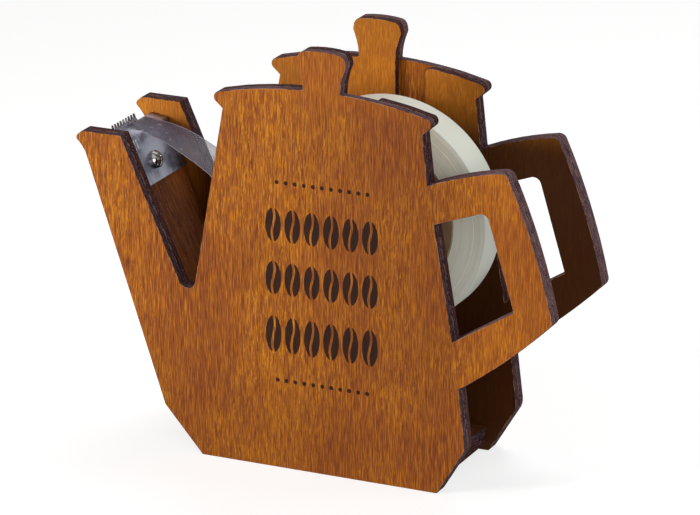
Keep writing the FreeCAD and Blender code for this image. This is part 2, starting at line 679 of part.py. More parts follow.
# ---------------------------------------------------------------- free end of the tape
def tape_strip():
    """Film that lies on the land, sags round in one arc and runs straight on to the roll.

    The arc is tangent to the land's line and to the straight run, and the straight run is tangent
    to the roll, so the arc's radius follows from the length of the straight run."""
    half = size("film_thickness") / 2
    along = neck_frame.Rotation.multVec(V(1, 0, 0))
    land_turn = FreeCAD.Rotation(V(0, 1, 0), -size("land_angle"))
    land = land_turn.multVec(along)
    up = V(-land.z, 0, land.x)
    start = brow + land * size("film_back") + up * (size("film_gap") + half)
    leave = start + land * (size("land_length") - size("film_back"))
    down = -up
    x, z = at(ROLL_AXIS)[0]
    roll = V(x, 0, z)
    reach = size("roll_radius") + size("film_gap") + half
    to_roll = roll - leave
    straight = size("film_straight")
    radius = (to_roll.dot(to_roll) - reach ** 2 - straight ** 2) / (2 * (reach + to_roll.dot(down)))
    centre = leave + down * radius
    between = roll - centre
    slope = math.atan2(between.z, between.x) - math.asin((radius + reach) / between.Length)
    run = V(math.cos(slope), 0, math.sin(slope))
    meet = centre + V(-run.z, 0, run.x) * radius
    chord = leave + meet - centre * 2
    middle = centre + chord.normalize() * radius
    path = Part.Wire([
        Part.LineSegment(start, leave).toShape(),
        Part.Arc(leave, middle, meet).toShape(),
        Part.LineSegment(meet, meet + run * straight).toShape(),
    ])
    section = Part.Face(ribbon_wire(path, half))
    width = V(0, 2 * size("tape_half"), 0)
    strip = doc.addObject("Part::Feature", "tape_strip")
    strip.Label = "tape_strip"
    strip.Shape = section.extrude(width)
    strip.Placement = FreeCAD.Placement(V(0, -size("tape_half"), 0), FreeCAD.Rotation())
    pieces.append(strip)


def ribbon_wire(path, half):
    """Outline of a line, arc and line thickened by half on both sides."""
    upper = []
    lower = []
    for edge in path.OrderedEdges:
        for side, row in ((half, upper), (-half, lower)):
            spots = []
            for share in (0.0, 0.5, 1.0):
                at_u = edge.FirstParameter + (edge.LastParameter - edge.FirstParameter) * share
                tangent = edge.tangentAt(at_u)
                spots.append(edge.valueAt(at_u) + V(-tangent.z, 0, tangent.x) * side)
            straight = edge.Curve.TypeId == "Part::GeomLine"
            curve = Part.LineSegment(spots[0], spots[2]) if straight else Part.Arc(*spots)
            row.append(curve.toShape())
    ends = [
        Part.LineSegment(row_end[0], row_end[1]).toShape()
        for row_end in (
            (upper[0].Vertexes[0].Point, lower[0].Vertexes[0].Point),
            (upper[-1].Vertexes[-1].Point, lower[-1].Vertexes[-1].Point),
        )
    ]
    return Part.Wire(Part.__sortEdges__(upper + lower + ends))


tape_strip()


# ---------------------------------------------------------------- checks and export
doc.recompute()
for item in doc.Objects:
    if "Invalid" in item.State or "Error" in item.State:
        raise RuntimeError(f"{item.Label} is {item.State}")
os.makedirs("parts", exist_ok=True)
for piece in pieces:
    if piece.Shape.isNull() or not piece.Shape.isValid():
        raise RuntimeError(f"{piece.Label} has no valid shape")
for piece in pieces:
    piece.Shape.exportStep(f"parts/{piece.Label}.step")
    box = piece.Shape.BoundBox
    print(
        f"{piece.Label:18s} {len(piece.Shape.Solids)} solid  {piece.Shape.Volume / 1000:8.2f} cm3"
        f"  X {box.XMin:7.2f} {box.XMax:7.2f}  Y {box.YMin:6.2f} {box.YMax:6.2f}"
        f"  Z {box.ZMin:6.2f} {box.ZMax:6.2f}"
    )
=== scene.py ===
"""Looks of a plywood tape dispenser cut in the outline of a pouring pot."""

import math
import random

import bmesh
import bpy
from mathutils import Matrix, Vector


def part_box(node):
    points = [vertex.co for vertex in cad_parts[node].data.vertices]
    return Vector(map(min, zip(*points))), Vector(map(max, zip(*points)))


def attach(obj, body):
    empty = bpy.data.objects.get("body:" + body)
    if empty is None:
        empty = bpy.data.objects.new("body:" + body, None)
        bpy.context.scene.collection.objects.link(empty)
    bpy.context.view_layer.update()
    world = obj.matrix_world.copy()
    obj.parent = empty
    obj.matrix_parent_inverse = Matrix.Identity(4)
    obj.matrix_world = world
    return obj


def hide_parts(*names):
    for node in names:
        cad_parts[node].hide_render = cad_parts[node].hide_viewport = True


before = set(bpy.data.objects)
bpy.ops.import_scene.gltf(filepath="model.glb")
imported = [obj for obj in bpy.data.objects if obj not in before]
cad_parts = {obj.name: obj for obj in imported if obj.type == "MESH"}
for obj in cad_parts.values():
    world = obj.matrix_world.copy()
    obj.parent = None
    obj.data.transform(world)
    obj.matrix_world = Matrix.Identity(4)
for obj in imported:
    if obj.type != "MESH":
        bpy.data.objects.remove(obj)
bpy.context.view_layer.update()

# ---------------------------------------------------------------- camera, table and light
# The pot stands on a pale table under four soft boxes, seen from above its right front through
# a long lens, which keeps its walls nearly parallel.
view_aim = Vector((0.0188, -0.032, 0.0998))
view_distance = 1.908
view_azimuth = math.radians(24.77)
view_elevation = math.radians(18.60)
view_lens = 233.76
view_far = 20.0
away = Vector((
    math.sin(view_azimuth) * math.cos(view_elevation),
    -math.cos(view_azimuth) * math.cos(view_elevation),
    math.sin(view_elevation),
))
camera_data = bpy.data.cameras.new("camera")
camera_data.sensor_width = 36.0
camera_data.lens = view_lens
camera_data.clip_end = view_far
camera = bpy.data.objects.new("camera", camera_data)
camera.location = view_aim + away * view_distance
camera.rotation_euler = (-away).to_track_quat("-Z", "Y").to_euler()
bpy.context.scene.collection.objects.link(camera)
bpy.context.scene.camera = camera
bpy.context.scene.view_settings.view_transform = "Standard"


class Signal:
    """A node's output that can stand in sums; every sum adds a Math node to its tree."""

    def __init__(self, nodes, socket):
        self.nodes = nodes
        self.socket = socket

    def _math(self, operation, *values):
        return self.nodes.node("ShaderNodeMath", {"operation": operation}, dict(enumerate(values)))

    def __add__(self, other):
        return self._math("ADD", self, other)

    def __sub__(self, other):
        return self._math("SUBTRACT", self, other)

    def __rsub__(self, other):
        return self._math("SUBTRACT", other, self)

    def __mul__(self, other):
        return self._math("MULTIPLY", self, other)

    def __truediv__(self, other):
        return self._math("DIVIDE", self, other)

    def __pow__(self, other):
        return self._math("POWER", self, other)

    def __mod__(self, other):
        return self._math("FLOORED_MODULO", self, other)

    def __abs__(self):
        return self._math("ABSOLUTE", self)

    def __gt__(self, other):
        return self._math("GREATER_THAN", self, other)

    def __lt__(self, other):
        return self._math("LESS_THAN", self, other)

    __radd__ = __add__
    __rmul__ = __mul__

    def sine(self):
        return self._math("SINE", self)

    def root(self):
        return self._math("SQRT", self)

    def most(self, other):
        return self._math("MAXIMUM", self, other)

    def fade(self, low, high, start=0.0, end=1.0):
        """Runs smoothly from start to end while the signal runs from low to high."""
        return self.nodes.node(
            "ShaderNodeMapRange",
            {"interpolation_type": "SMOOTHSTEP"},
            {"Value": self, "From Min": low, "From Max": high, "To Min": start, "To Max": end},
        )


class Nodes:
    """A node tree and the one way to add nodes to it."""

    def node(self, kind, settings, inputs, output=0):
        """Settings are set first, a ramp's stops among them; inputs are values or signals."""
        made = self.tree.nodes.new(kind)
        for name, value in settings.items():
            if name == "stops":
                stops = made.color_ramp.elements
                for stop, (place, colour) in zip((stops[0], stops[1]), (value[0], value[-1])):
                    stop.position, stop.color = place, (*colour, 1)
                for place, colour in value[1:-1]:
                    stops.new(place).color = (*colour, 1)
            else:
                setattr(made, name, value)
        for name, value in inputs.items():
            if isinstance(value, Signal):
                self.tree.links.new(value.socket, made.inputs[name])
            elif value is not None:
                made.inputs[name].default_value = value
        return None if output is None else Signal(self, made.outputs[output])


class Finish(Nodes):
    """A procedural material with one surface shader."""

    def __init__(self, name):
        self.material = bpy.data.materials.new(name)
        self.material.use_nodes = True
        self.tree = self.material.node_tree
        self.tree.nodes.clear()

    def place(self):
        return self.node("ShaderNodeTexCoord", {}, {}, "Object")

    def parts(self, vector):
        """The three numbers of a vector."""
        split = self.node("ShaderNodeSeparateXYZ", {}, {"Vector": vector})
        return [Signal(self, output) for output in split.socket.node.outputs]

    def join(self, x, y, z):
        return self.node("ShaderNodeCombineXYZ", {}, {"X": x, "Y": y, "Z": z})

    def stretch(self, vector, x, y, z):
        scales = {0: vector, 1: (x, y, z)}
        return self.node("ShaderNodeVectorMath", {"operation": "MULTIPLY"}, scales)

    def shift(self, vector, x, y, z):
        return self.node("ShaderNodeVectorMath", {"operation": "ADD"}, {0: vector, 1: (x, y, z)})

    def noise(self, vector, detail=2.0, roughness=0.5, distortion=0.0):
        sizes = {"Vector": vector, "Scale": 1.0, "Detail": detail, "Roughness": roughness}
        return self.node("ShaderNodeTexNoise", {}, sizes | {"Distortion": distortion})

    def ramp(self, signal, stops):
        return self.node("ShaderNodeValToRGB", {"stops": stops}, {"Fac": signal})

    def mix(self, factor, first, second):
        """Mix of two colours, each a signal or three numbers."""
        first, second = (c if isinstance(c, Signal) else (*c, 1) for c in (first, second))
        inputs = {0: factor, 6: first, 7: second}
        return self.node("ShaderNodeMix", {"data_type": "RGBA"}, inputs, 2)

    def surface(self, height=None, depth=0.001, strength=1.0, **sockets):
        """Closes the material with one surface shader; height is a relief in units of depth."""
        inputs = {name.replace("_", " "): value for name, value in sockets.items()}
        if height is not None:
            relief = {"Height": height, "Distance": depth, "Strength": strength}
            inputs["Normal"] = self.node("ShaderNodeBump", {}, relief)
        shader = self.node("ShaderNodeBsdfPrincipled", {}, inputs)
        return self.close(shader)

    def close(self, shader):
        self.node("ShaderNodeOutputMaterial", {}, {"Surface": shader}, None)
        return self.material


def seen_white(paint, lit, white):
    """Picks the white shader for the camera, for gloss and for glass, and the lit one otherwise."""
    rays = ("Is Camera Ray", "Is Glossy Ray", "Is Transmission Ray")
    path = paint.node("ShaderNodeLightPath", {}, {}, rays[0]).socket.node
    camera_ray, gloss, glass = (Signal(paint, path.outputs[ray]) for ray in rays)
    seen = camera_ray.most(gloss).most(glass)
    return paint.node("ShaderNodeMixShader", {}, {0: seen, 1: lit, 2: white})


table_grey = 0.5
table_glow = 0.72
table_half = 6


def table_white():
    """White table: it shows the shadow of what stands on it, and is white elsewhere."""
    paint = Finish("table_white")
    grey = (table_grey, table_grey, table_grey, 1)
    matt = paint.node("ShaderNodeBsdfDiffuse", {}, {"Color": grey})
    glow = paint.node("ShaderNodeEmission", {}, {"Color": (1, 1, 1, 1), "Strength": table_glow})
    both = paint.node("ShaderNodeAddShader", {}, {0: matt, 1: glow})
    return paint.close(seen_white(paint, matt, both))


table_mesh = bpy.data.meshes.new("table")
quarters = ((-1, -1), (1, -1), (1, 1), (-1, 1))
table_corners = [(x * table_half, y * table_half, 0) for x, y in quarters]
table_mesh.from_pydata(table_corners, [], [(0, 1, 2, 3)])
table_mesh.materials.append(table_white())
table = bpy.data.objects.new("table", table_mesh)
bpy.context.scene.collection.objects.link(table)

room = bpy.data.worlds.new("room")
room.use_nodes = True
room_air = Nodes()
room_air.tree = room.node_tree
room_air.tree.nodes.clear()
room_soft, room_white = (
    room_air.node("ShaderNodeBackground", {}, {"Color": colour, "Strength": strength})
    for colour, strength in (((1.0, 0.98, 0.96, 1), 0.13), ((1, 1, 1, 1), 1.0))
)
room_seen = seen_white(room_air, room_soft, room_white)
room_air.node("ShaderNodeOutputWorld", {}, {"Surface": room_seen}, None)
bpy.context.scene.world = room

lit_middle = Vector((0, 0, 0.09))
for name, place, width, height, power, tint in (
    ("key_box", (-0.66, -0.66, 0.30), 0.24, 0.24, 6.5, (1.0, 0.985, 0.96)),
    ("fill_box", (0.75, -0.95, 0.45), 0.60, 0.60, 3.9, (0.98, 0.99, 1.0)),
    ("side_box", (0.95, 0.35, 0.62), 0.50, 0.50, 2.2, (0.97, 0.98, 1.0)),
    ("top_box", (0.05, 0.55, 1.10), 0.70, 0.50, 4.6, (1.0, 1.0, 1.0)),
):
    lamp = bpy.data.lights.new(name, "AREA")
    lamp.shape = "RECTANGLE"
    lamp.size, lamp.size_y = width, height
    lamp.energy = power
    lamp.color = tint
    box = bpy.data.objects.new(name, lamp)
    box.location = place
    box.rotation_euler = (lit_middle - Vector(place)).to_track_quat("-Z", "Y").to_euler()
    bpy.context.scene.collection.objects.link(box)


# ---------------------------------------------------------------- side walls
# Each wall is two sheets of 4 mm plywood, stained amber on the faces. The outline is cut by laser,
# so every edge is scorched a dark plum brown, and the sheets are glued back to back.
wall_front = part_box("side_panel_front")[0].y
seam = abs(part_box("side_panel_front")[1].y)
veneer = (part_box("side_panel_front")[1].y - wall_front) / 3
edge_round = 0.00032
weld = 1e-6
by_area = 100
inner_reach = 0.0035
print_reach = 0.00005

stain_ramp = [
    (0.40, (0.175, 0.040, 0.012)), (0.50, (0.325, 0.088, 0.014)), (0.60, (0.60, 0.205, 0.014)),
]
amber_darker = (0.150, 0.035, 0.010)
# Painted light and painted shade of the inner sheets: a lighter amber and a near-black brown.
painted_light_amber = (0.80, 0.290, 0.020)
painted_chamber_shade = (0.022, 0.004, 0.003)
fleck_gold = (0.66, 0.250, 0.012)
pore_brown = (0.120, 0.028, 0.010)
hand_worn = (0.72, 0.210, 0.018)
# Pale corner colour: partly rubbed wear, partly a painted highlight.
pale_corner_highlight = (0.64, 0.32, 0.17)
char_grey = [
    (0.34, (0.008, 0.003, 0.006)), (0.52, (0.056, 0.032, 0.042)), (0.68, (0.170, 0.115, 0.135)),
]
char_ruddy = [
    (0.34, (0.006, 0.001, 0.003)), (0.52, (0.052, 0.014, 0.014)), (0.68, (0.160, 0.054, 0.032)),
]
char_line = (0.004, 0.001, 0.003)
# Paler char of the handle's edge: partly rubbed wear, partly a painted highlight.
pale_char_and_highlight = (0.260, 0.150, 0.165)
crumb_pale = (0.50, 0.34, 0.33)
glue_black = (0.003, 0.001, 0.002)
ink_black = (0.008, 0.003, 0.003)


def merged_copy(node, name, flat=math.radians(0.5)):
    """The node's mesh with its triangles joined and its flat faces whole, as a new object."""
    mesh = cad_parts[node].data.copy()
    mesh.materials.clear()
    shell = bmesh.new()
    shell.from_mesh(mesh)
    bmesh.ops.remove_doubles(shell, verts=shell.verts, dist=weld)
    bmesh.ops.dissolve_limit(shell, angle_limit=flat, verts=shell.verts, edges=shell.edges)
    shell.to_mesh(mesh)
    shell.free()
    mesh.name = name
    made = bpy.data.objects.new(name, mesh)
    bpy.context.scene.collection.objects.link(made)
    return made


def eased(made, width, segments=2, angle=35):
    """Breaks the sharp edges with a small bevel and keeps the flat faces flat."""
    made.data.shade_smooth()
    bevel = made.modifiers.new("eased", "BEVEL")
    bevel.width = width
    bevel.segments = segments
    bevel.limit_method = "ANGLE"
    bevel.angle_limit = math.radians(angle)
    bevel.use_clamp_overlap = True
    weigh = made.modifiers.new("weighed", "WEIGHTED_NORMAL")
    weigh.weight = by_area
    bpy.context.view_layer.update()
    graph = bpy.context.evaluated_depsgraph_get()
    finished = bpy.data.meshes.new_from_object(made.evaluated_get(graph))
    made.modifiers.clear()
    made.data = finished
    return made


def scorched(wood, grown, y, pale):
    """Laser-cut edge of plywood, y across the plies: its relief and its purple-black colour, which
    runs to grey where pale is 1 and to ruddy brown where it is 0."""
    crumbs = wood.noise(wood.stretch(grown, 260, 2400, 260), detail=4.0, roughness=0.6)
    grey, ruddy = wood.ramp(crumbs, char_grey), wood.ramp(crumbs, char_ruddy)
    patches = wood.noise(wood.stretch(grown, 90, 300, 90), detail=2.0).fade(0.46, 0.60, -0.3, 0.3)
    burnt = wood.mix((pale + patches).fade(0.0, 1.0), ruddy, grey)
    veneer_line = abs((y / veneer) % 1.0 - 0.5).fade(0.36, 0.50)
    return crumbs, wood.mix(veneer_line * 0.6, burnt, char_line)


def stained_plywood(name, seed, printed=False, inner=False):
    """Amber stain over short upright grain, scorched where the sheet is cut."""
    wood = Finish(name)
    place = wood.place()
    x, y, z = wood.parts(place)
    grown = wood.shift(place, seed * 0.37, seed * 0.11, seed * 0.23)

    # Face: fine upright streaks over soft bands and clouds, with bright flecks in patches.
    cloud = wood.noise(wood.stretch(grown, 24, 24, 18), detail=3.0)
    bands = wood.noise(
        wood.stretch(grown, 1300, 1300, 60), detail=3.0, roughness=0.6, distortion=0.1
    )
    streaks = wood.noise(wood.stretch(grown, 3000, 3000, 130), detail=2.0, roughness=0.6)
    grain = cloud * 0.10 + bands * 0.28 + streaks * 0.62
    face = wood.ramp(grain, stain_ramp)
    flecks = wood.noise(wood.stretch(wood.shift(grown, 3, 1, 2), 2300, 2300, 240), detail=2.0)
    face = wood.mix(flecks.fade(0.55, 0.66) * cloud.fade(0.40, 0.60), face, fleck_gold)
    pores = wood.noise(wood.stretch(grown, 2700, 2700, 230), detail=1.0)
    face = wood.mix(pores.fade(0.56, 0.68) * 0.35, face, pore_brown)

    # The faces run darker over the body's right and along its foot, and the handle and the outer
    # sheets' knobs are rubbed lighter by hands.
    handled = x.fade(0.062, 0.086)
    if not inner:
        handled = handled.most(z.fade(0.158, 0.172) * 0.9)
    darker_right = x.fade(-0.010, 0.040) * x.fade(0.060, 0.078, 1.0, 0.0) * z.fade(0.020, 0.050)
    foot = z.fade(0.015, 0.065, 1.0, 0.0) * x.fade(0.010, 0.045, 1.0, 0.2)
    face = wood.mix(darker_right.most(foot) * 0.28, face, amber_darker)
    face = wood.mix(handled * 0.17, face, hand_worn)

    # Painted light and shade: the inner sheets are painted lighter all over, and their sides
    # towards the roll are painted dark as shade, except where they show over the rim and at the
    # spout's tip.
    if inner:
        towards_roll = abs(y) < seam - inner_reach
        shaded_side = towards_roll * z.fade(0.136, 0.160, 1.0, 0.0) * x.fade(-0.088, -0.070)
        face = wood.mix(0.30, face, painted_light_amber)
        face = wood.mix(shaded_side * 0.88, face, painted_chamber_shade)

    # Cut edge: three veneers in each sheet, scorched plum brown, with pale crumbs and a black
    # glue line where two sheets meet. The handle's edge is paler too, partly rubbed wear and
    # partly a painted highlight.
    crumbs, burnt = scorched(wood, grown, y, abs(y).fade(seam - 0.001, seam + 0.001, 0.15, 0.85))
    glue = abs(abs(y) - seam).fade(0.0001, 0.0005, 1.0, 0.0)
    burnt = wood.mix(handled * crumbs.fade(0.40, 0.60, 0.15, 0.60), burnt, pale_char_and_highlight)
    chips = wood.noise(wood.stretch(grown, 1500, 1900, 1200), detail=2.0, roughness=0.6)
    near_glue = abs(abs(y) - seam - 0.0002).fade(0.0003, 0.0011, 1.0, 0.0)
    chipped = (chips + near_glue * 0.07 + handled * 0.03).fade(0.62, 0.72)
    burnt = wood.mix(chipped * 0.7, burnt, crumb_pale)
    burnt = wood.mix(glue, burnt, glue_black)

    # The rounded corner between the two is painted pale in patches: partly rubbed wear, partly a
    # painted highlight along the arris.
    facing = abs(wood.parts(wood.node("ShaderNodeTexCoord", {}, {}, "Normal"))[1])
    on_face = facing.fade(0.80, 0.985)
    colour = wood.mix(on_face, burnt, face)
    patchy_rub_and_highlight = wood.noise(wood.stretch(grown, 240, 240, 240), detail=3.0).fade(0.44, 0.58)
    corner = facing.fade(0.35, 0.75) * facing.fade(0.88, 0.99, 1.0, 0.0)
    colour = wood.mix(corner * patchy_rub_and_highlight * 0.85, colour, pale_corner_highlight)
    if printed:
        front = y < wall_front + print_reach
        colour = wood.mix(printed_beans(x, z) * front * 0.95, colour, ink_black)

    relief = streaks * 0.6 + pores * 0.4 + crumbs * (1 - on_face) * 2.5
    return wood.surface(
        height=relief, depth=0.00012, strength=0.45, Base_Color=colour,
        Roughness=streaks.fade(0.35, 0.65, 0.56, 0.40).most((1 - on_face) * 0.9),
        Specular_IOR_Level=0.12,
    )


print_left, print_right = -0.0215, 0.0325
bean_pitch = (print_right - print_left) / 6
bean_rows = ((0.1095, 0.0150), (0.0858, 0.0150), (0.0606, 0.0165))
bead_rows = (0.1285, 0.0400)
bead_pitch = 0.0042
bead_radius = 0.00095
bead_inset = 0.004


def printed_beans(x, z):
    """Plain ornament printed on the front: three rows of beans between beaded rules."""
    ink = None
    for middle, height in bean_rows:
        u = ((x - print_left) / bean_pitch) % 1.0 - 0.5
        v = (z - middle) / height
        body = (u * 2.45) ** 2 + (v * 2.0) ** 2 < 1.0
        crease = abs(u - (v * 6.2).sine() * 0.07) > 0.06
        bean = body * crease * (x > print_left) * (x < print_right)
        ink = bean if ink is None else ink.most(bean)
    for height in bead_rows:
        u = (((x - print_left) / bead_pitch) % 1.0 - 0.5) * bead_pitch
        v = z - height
        bead = u * u + v * v < bead_radius ** 2
        ink = ink.most(bead * (x > print_left + bead_inset) * (x < print_right - bead_inset))
    return ink


wall_material = {
    "side_panel_front": stained_plywood("amber_front", 1, printed=True),
    "slot_panel_front": stained_plywood("amber_front_inner", 2, inner=True),
    "slot_panel_rear": stained_plywood("amber_rear_inner", 3, inner=True),
    "side_panel_rear": stained_plywood("amber_rear", 4),
}
for node, material in wall_material.items():
    wall = eased(merged_copy(node, node + "_sheet"), edge_round)
    wall.data.materials.append(material)
    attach(wall, "stand")
    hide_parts(node)


# ---------------------------------------------------------------- boards between the walls
# The base is two glued plies tabbed into the inner sheets, and the neck is a sloping ply with a
# second one behind it. All are the same plywood, scorched where cut; their colours are painted
# darker than the walls' stain, painted shade for the shadow they sit in between the walls.
base_shaded_pale, base_shaded_deep = (0.200, 0.060, 0.014), (0.035, 0.009, 0.004)
neck_shaded_pale, neck_shaded_deep = (0.340, 0.098, 0.017), (0.115, 0.028, 0.007)
dust_pale = (0.42, 0.28, 0.17)
dust_charred = (0.44, 0.31, 0.30)
neck_out = (0.9143, 0, 0.4051)


def board_plywood(name, out, seed, light, dark):
    """Ply facing out, in the colours given: its grain runs along it, its thin sides scorched."""
    wood = Finish(name)
    x, y, z = wood.parts(wood.place())
    up = x * out[0] + z * out[2]
    run = x * out[2] - z * out[0]
    grown = wood.shift(wood.join(up, y, run), seed * 0.31, seed * 0.17, 0)
    streaks = wood.noise(wood.stretch(grown, 1400, 1400, 110), detail=3.0, roughness=0.65)
    cloud = wood.noise(wood.stretch(grown, 30, 30, 30), detail=3.0)
    face = wood.ramp(streaks * 0.6 + cloud * 0.4, [(0.40, dark), (0.60, light)])
    dust = wood.noise(wood.stretch(grown, 900, 900, 900), detail=2.0)
    face = wood.mix(dust.fade(0.66, 0.74) * 0.6, face, dust_pale)
    normal = wood.parts(wood.node("ShaderNodeTexCoord", {}, {}, "Normal"))
    flat = abs(normal[0] * out[0] + normal[2] * out[2]).fade(0.80, 0.985)
    crumbs, burnt = scorched(wood, wood.join(run, up, y), up, cloud.fade(0.45, 0.55))
    burnt = wood.mix(dust.fade(0.60, 0.72) * 0.5, burnt, dust_charred)
    return wood.surface(
        height=streaks + crumbs * (1 - flat) * 2.5, depth=0.0001, strength=0.5,
        Base_Color=wood.mix(flat, burnt, face),
        Roughness=streaks.fade(0.3, 0.7, 0.60, 0.46).most((1 - flat) * 0.9),
        Specular_IOR_Level=0.1,
    )


board_material = {
    "base_board_lower": board_plywood("base_painted_shade_lower", (0, 0, 1), 0, base_shaded_pale, base_shaded_deep),
    "base_board_upper": board_plywood("base_painted_shade_upper", (0, 0, 1), 3, base_shaded_pale, base_shaded_deep),
    "neck_board": board_plywood("neck_painted_shade", neck_out, 5, neck_shaded_pale, neck_shaded_deep),
    "neck_backer": board_plywood("neck_backer_painted_shade", neck_out, 8, neck_shaded_pale, neck_shaded_deep),
}
for node, material in board_material.items():
    board = eased(merged_copy(node, node + "_sheet"), edge_round)
    board.data.materials.append(material)
    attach(board, "stand")
    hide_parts(node)


# ---------------------------------------------------------------- cutter and its screw
# The cutter is 1 mm steel, bent over the neck board's end into a flat land, with a comb of tall
# teeth standing on the middle of its back edge. One pan-head screw holds it to the board.
steel_smudged = [(0.40, (0.085, 0.085, 0.115)), (0.60, (0.36, 0.37, 0.44))]
steel_bright_marks = (0.72, 0.73, 0.76)
old_glue = (0.028, 0.013, 0.015)
mark_pitch = 0.0025


def brushed_steel():
    """Dull blue-grey steel, smudged by hands; it has short bright marks under its bend and is
    glued at its comb.
    """
    steel = Finish("cutter_steel")
    place = steel.place()
    x, y, z = steel.parts(place)
    brushed = steel.noise(steel.stretch(place, 90, 1500, 90), detail=4.0, roughness=0.6)
    smudge = steel.noise(steel.stretch(place, 100, 60, 100), detail=3.0)
    colour = steel.ramp(smudge * 0.75 + brushed * 0.25, steel_smudged)
    # Short bright marks under the bend, spaced like the teeth.
    under_bend = z.fade(0.1262, 0.1272) * z.fade(0.1302, 0.1308, 1.0, 0.0)
    bright_marks = abs((y / mark_pitch) % 1.0 - 0.5).fade(0.18, 0.34, 1.0, 0.0)
    bright_marks = bright_marks * under_bend * y.fade(-0.009, -0.004, 1.0, 0.0)
    broken_up = steel.noise(steel.stretch(place, 300, 900, 300), detail=2.0).fade(0.35, 0.6)
    colour = steel.mix(bright_marks * broken_up * 0.8, colour, steel_bright_marks)
    # The comb is browned by old glue.
    comb = x.fade(-0.1031, -0.1025, 1.0, 0.0)
    glue = steel.noise(steel.stretch(place, 500, 500, 500), detail=3.0)
    colour = steel.mix(comb * glue.fade(0.25, 0.50), colour, old_glue)
    dull = (smudge * 0.5 + brushed * 0.5).fade(0.35, 0.65, 0.26, 0.42)
    return steel.surface(
        height=brushed, depth=0.00002, strength=0.2,
        Base_Color=colour, Metallic=1.0 - comb * 0.85, Roughness=dull.most(comb * 0.8),
    )


class Growth(Nodes):
    """A geometry tree with named sizes; it is run once and leaves a plain mesh."""

    def __init__(self, name, **sizes):
        self.tree = bpy.data.node_groups.new(name, "GeometryNodeTree")
        kinds = {float: "NodeSocketFloat", int: "NodeSocketInt", tuple: "NodeSocketVector"}
        sockets = self.tree.interface
        sockets.new_socket("Geometry", in_out="INPUT", socket_type="NodeSocketGeometry")
        sockets.new_socket("Geometry", in_out="OUTPUT", socket_type="NodeSocketGeometry")
        self.sizes = {}
        for label, value in sizes.items():
            made = sockets.new_socket(label, in_out="INPUT", socket_type=kinds[type(value)])
            self.sizes[made.identifier] = value
        given = self.node("NodeGroupInput", {}, {}).socket.node.outputs
        self.given = {socket.name: Signal(self, socket) for socket in given if socket.name}

    def grow(self, seed, geometry, material, flat=40):
        """Runs the tree on the seed mesh and gives the result as a new object."""
        whole = self.node("GeometryNodeRealizeInstances", {}, {"Geometry": geometry})
        inputs = {"Geometry": whole, "Material": material}
        painted = self.node("GeometryNodeSetMaterial", {}, inputs)
        self.node("NodeGroupOutput", {}, {"Geometry": painted}, None)
        made = bpy.data.objects.new(seed.name, seed)
        bpy.context.scene.collection.objects.link(made)
        run = made.modifiers.new("grow", "NODES")
        run.node_group = self.tree
        for identifier, value in self.sizes.items():
            run[identifier] = value
        bpy.context.view_layer.update()
        graph = bpy.context.evaluated_depsgraph_get()
        grown = bpy.data.meshes.new_from_object(made.evaluated_get(graph))
        made.modifiers.clear()
        made.data = grown
        shell = bmesh.new()
        shell.from_mesh(grown)
        bmesh.ops.recalc_face_normals(shell, faces=shell.faces)
        shell.to_mesh(grown)
        shell.free()
        grown.shade_smooth()
        grown.set_sharp_from_angle(angle=math.radians(flat))
        return made


steel = brushed_steel()
land_back = Vector((-0.10257, 0, 0.13321))
land_along = Vector((-0.9900, 0, 0.1409))
blade_round = 0.00012
blade = merged_copy("cutter_blade", "cutter_plate")
shell = bmesh.new()
shell.from_mesh(blade.data)
bmesh.ops.bisect_plane(
    shell, geom=shell.verts[:] + shell.edges[:] + shell.faces[:],
    plane_co=land_back, plane_no=land_along, clear_outer=True,
)
bmesh.ops.holes_fill(shell, edges=[edge for edge in shell.edges if edge.is_boundary])
bmesh.ops.recalc_face_normals(shell, faces=shell.faces)
shell.to_mesh(blade.data)
shell.free()
blade = eased(blade, blade_round, segments=2, angle=25)
blade.data.materials.append(steel)

tooth_pitch = 0.0025
tooth_count = 9
tooth_lean = -0.30
tooth_first = (land_back.x - 0.0003, -0.0115, land_back.z + 0.0002)
tooth_half = 0.42  # mm
tooth_outline = [  # mm across and up, from a broad foot to a narrow tip
    (-1.12, -1.4), (-1.12, 0.0), (-0.5, 1.0), (-0.1, 3.1),
    (0.1, 3.1), (0.5, 1.0), (1.12, 0.0), (1.12, -1.4),
]
tooth = bpy.data.meshes.new("cutter_teeth")
shell = bmesh.new()
sides = [
    [shell.verts.new((depth / 1000, across / 1000, up / 1000)) for across, up in tooth_outline]
    for depth in (-tooth_half, tooth_half)
]
shell.faces.new(sides[0])
shell.faces.new(sides[1][::-1])
for k in range(len(tooth_outline)):
    after = (k + 1) % len(tooth_outline)
    shell.faces.new((sides[0][k], sides[1][k], sides[1][after], sides[0][after]))
bmesh.ops.recalc_face_normals(shell, faces=shell.faces)
shell.to_mesh(tooth)
shell.free()

comb = Growth(
    "comb", Teeth=tooth_count, Pitch=(0.0, tooth_pitch, 0.0), Lean=(0.0, tooth_lean, 0.0),
    First=tooth_first,
)
given = comb.given
row = comb.node(
    "GeometryNodeMeshLine", {},
    {"Count": given["Teeth"], "Start Location": given["First"], "Offset": given["Pitch"]},
)
stood = comb.node(
    "GeometryNodeInstanceOnPoints", {},
    {"Points": row, "Instance": given["Geometry"], "Rotation": given["Lean"]},
)
teeth = comb.grow(tooth, stood, steel, flat=20)
for piece in (blade, teeth):
    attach(piece, "stand")
    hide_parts("cutter_blade")


def polished_steel():
    """Bright plated steel, a little worn."""
    steel = Finish("screw_steel")
    wear = steel.noise(steel.stretch(steel.place(), 900, 900, 900), detail=3.0)
    colour = steel.ramp(wear, [(0.3, (0.26, 0.24, 0.22)), (0.7, (0.46, 0.44, 0.41))])
    return steel.surface(Base_Color=colour, Metallic=1.0, Roughness=wear.fade(0.3, 0.7, 0.08, 0.2))


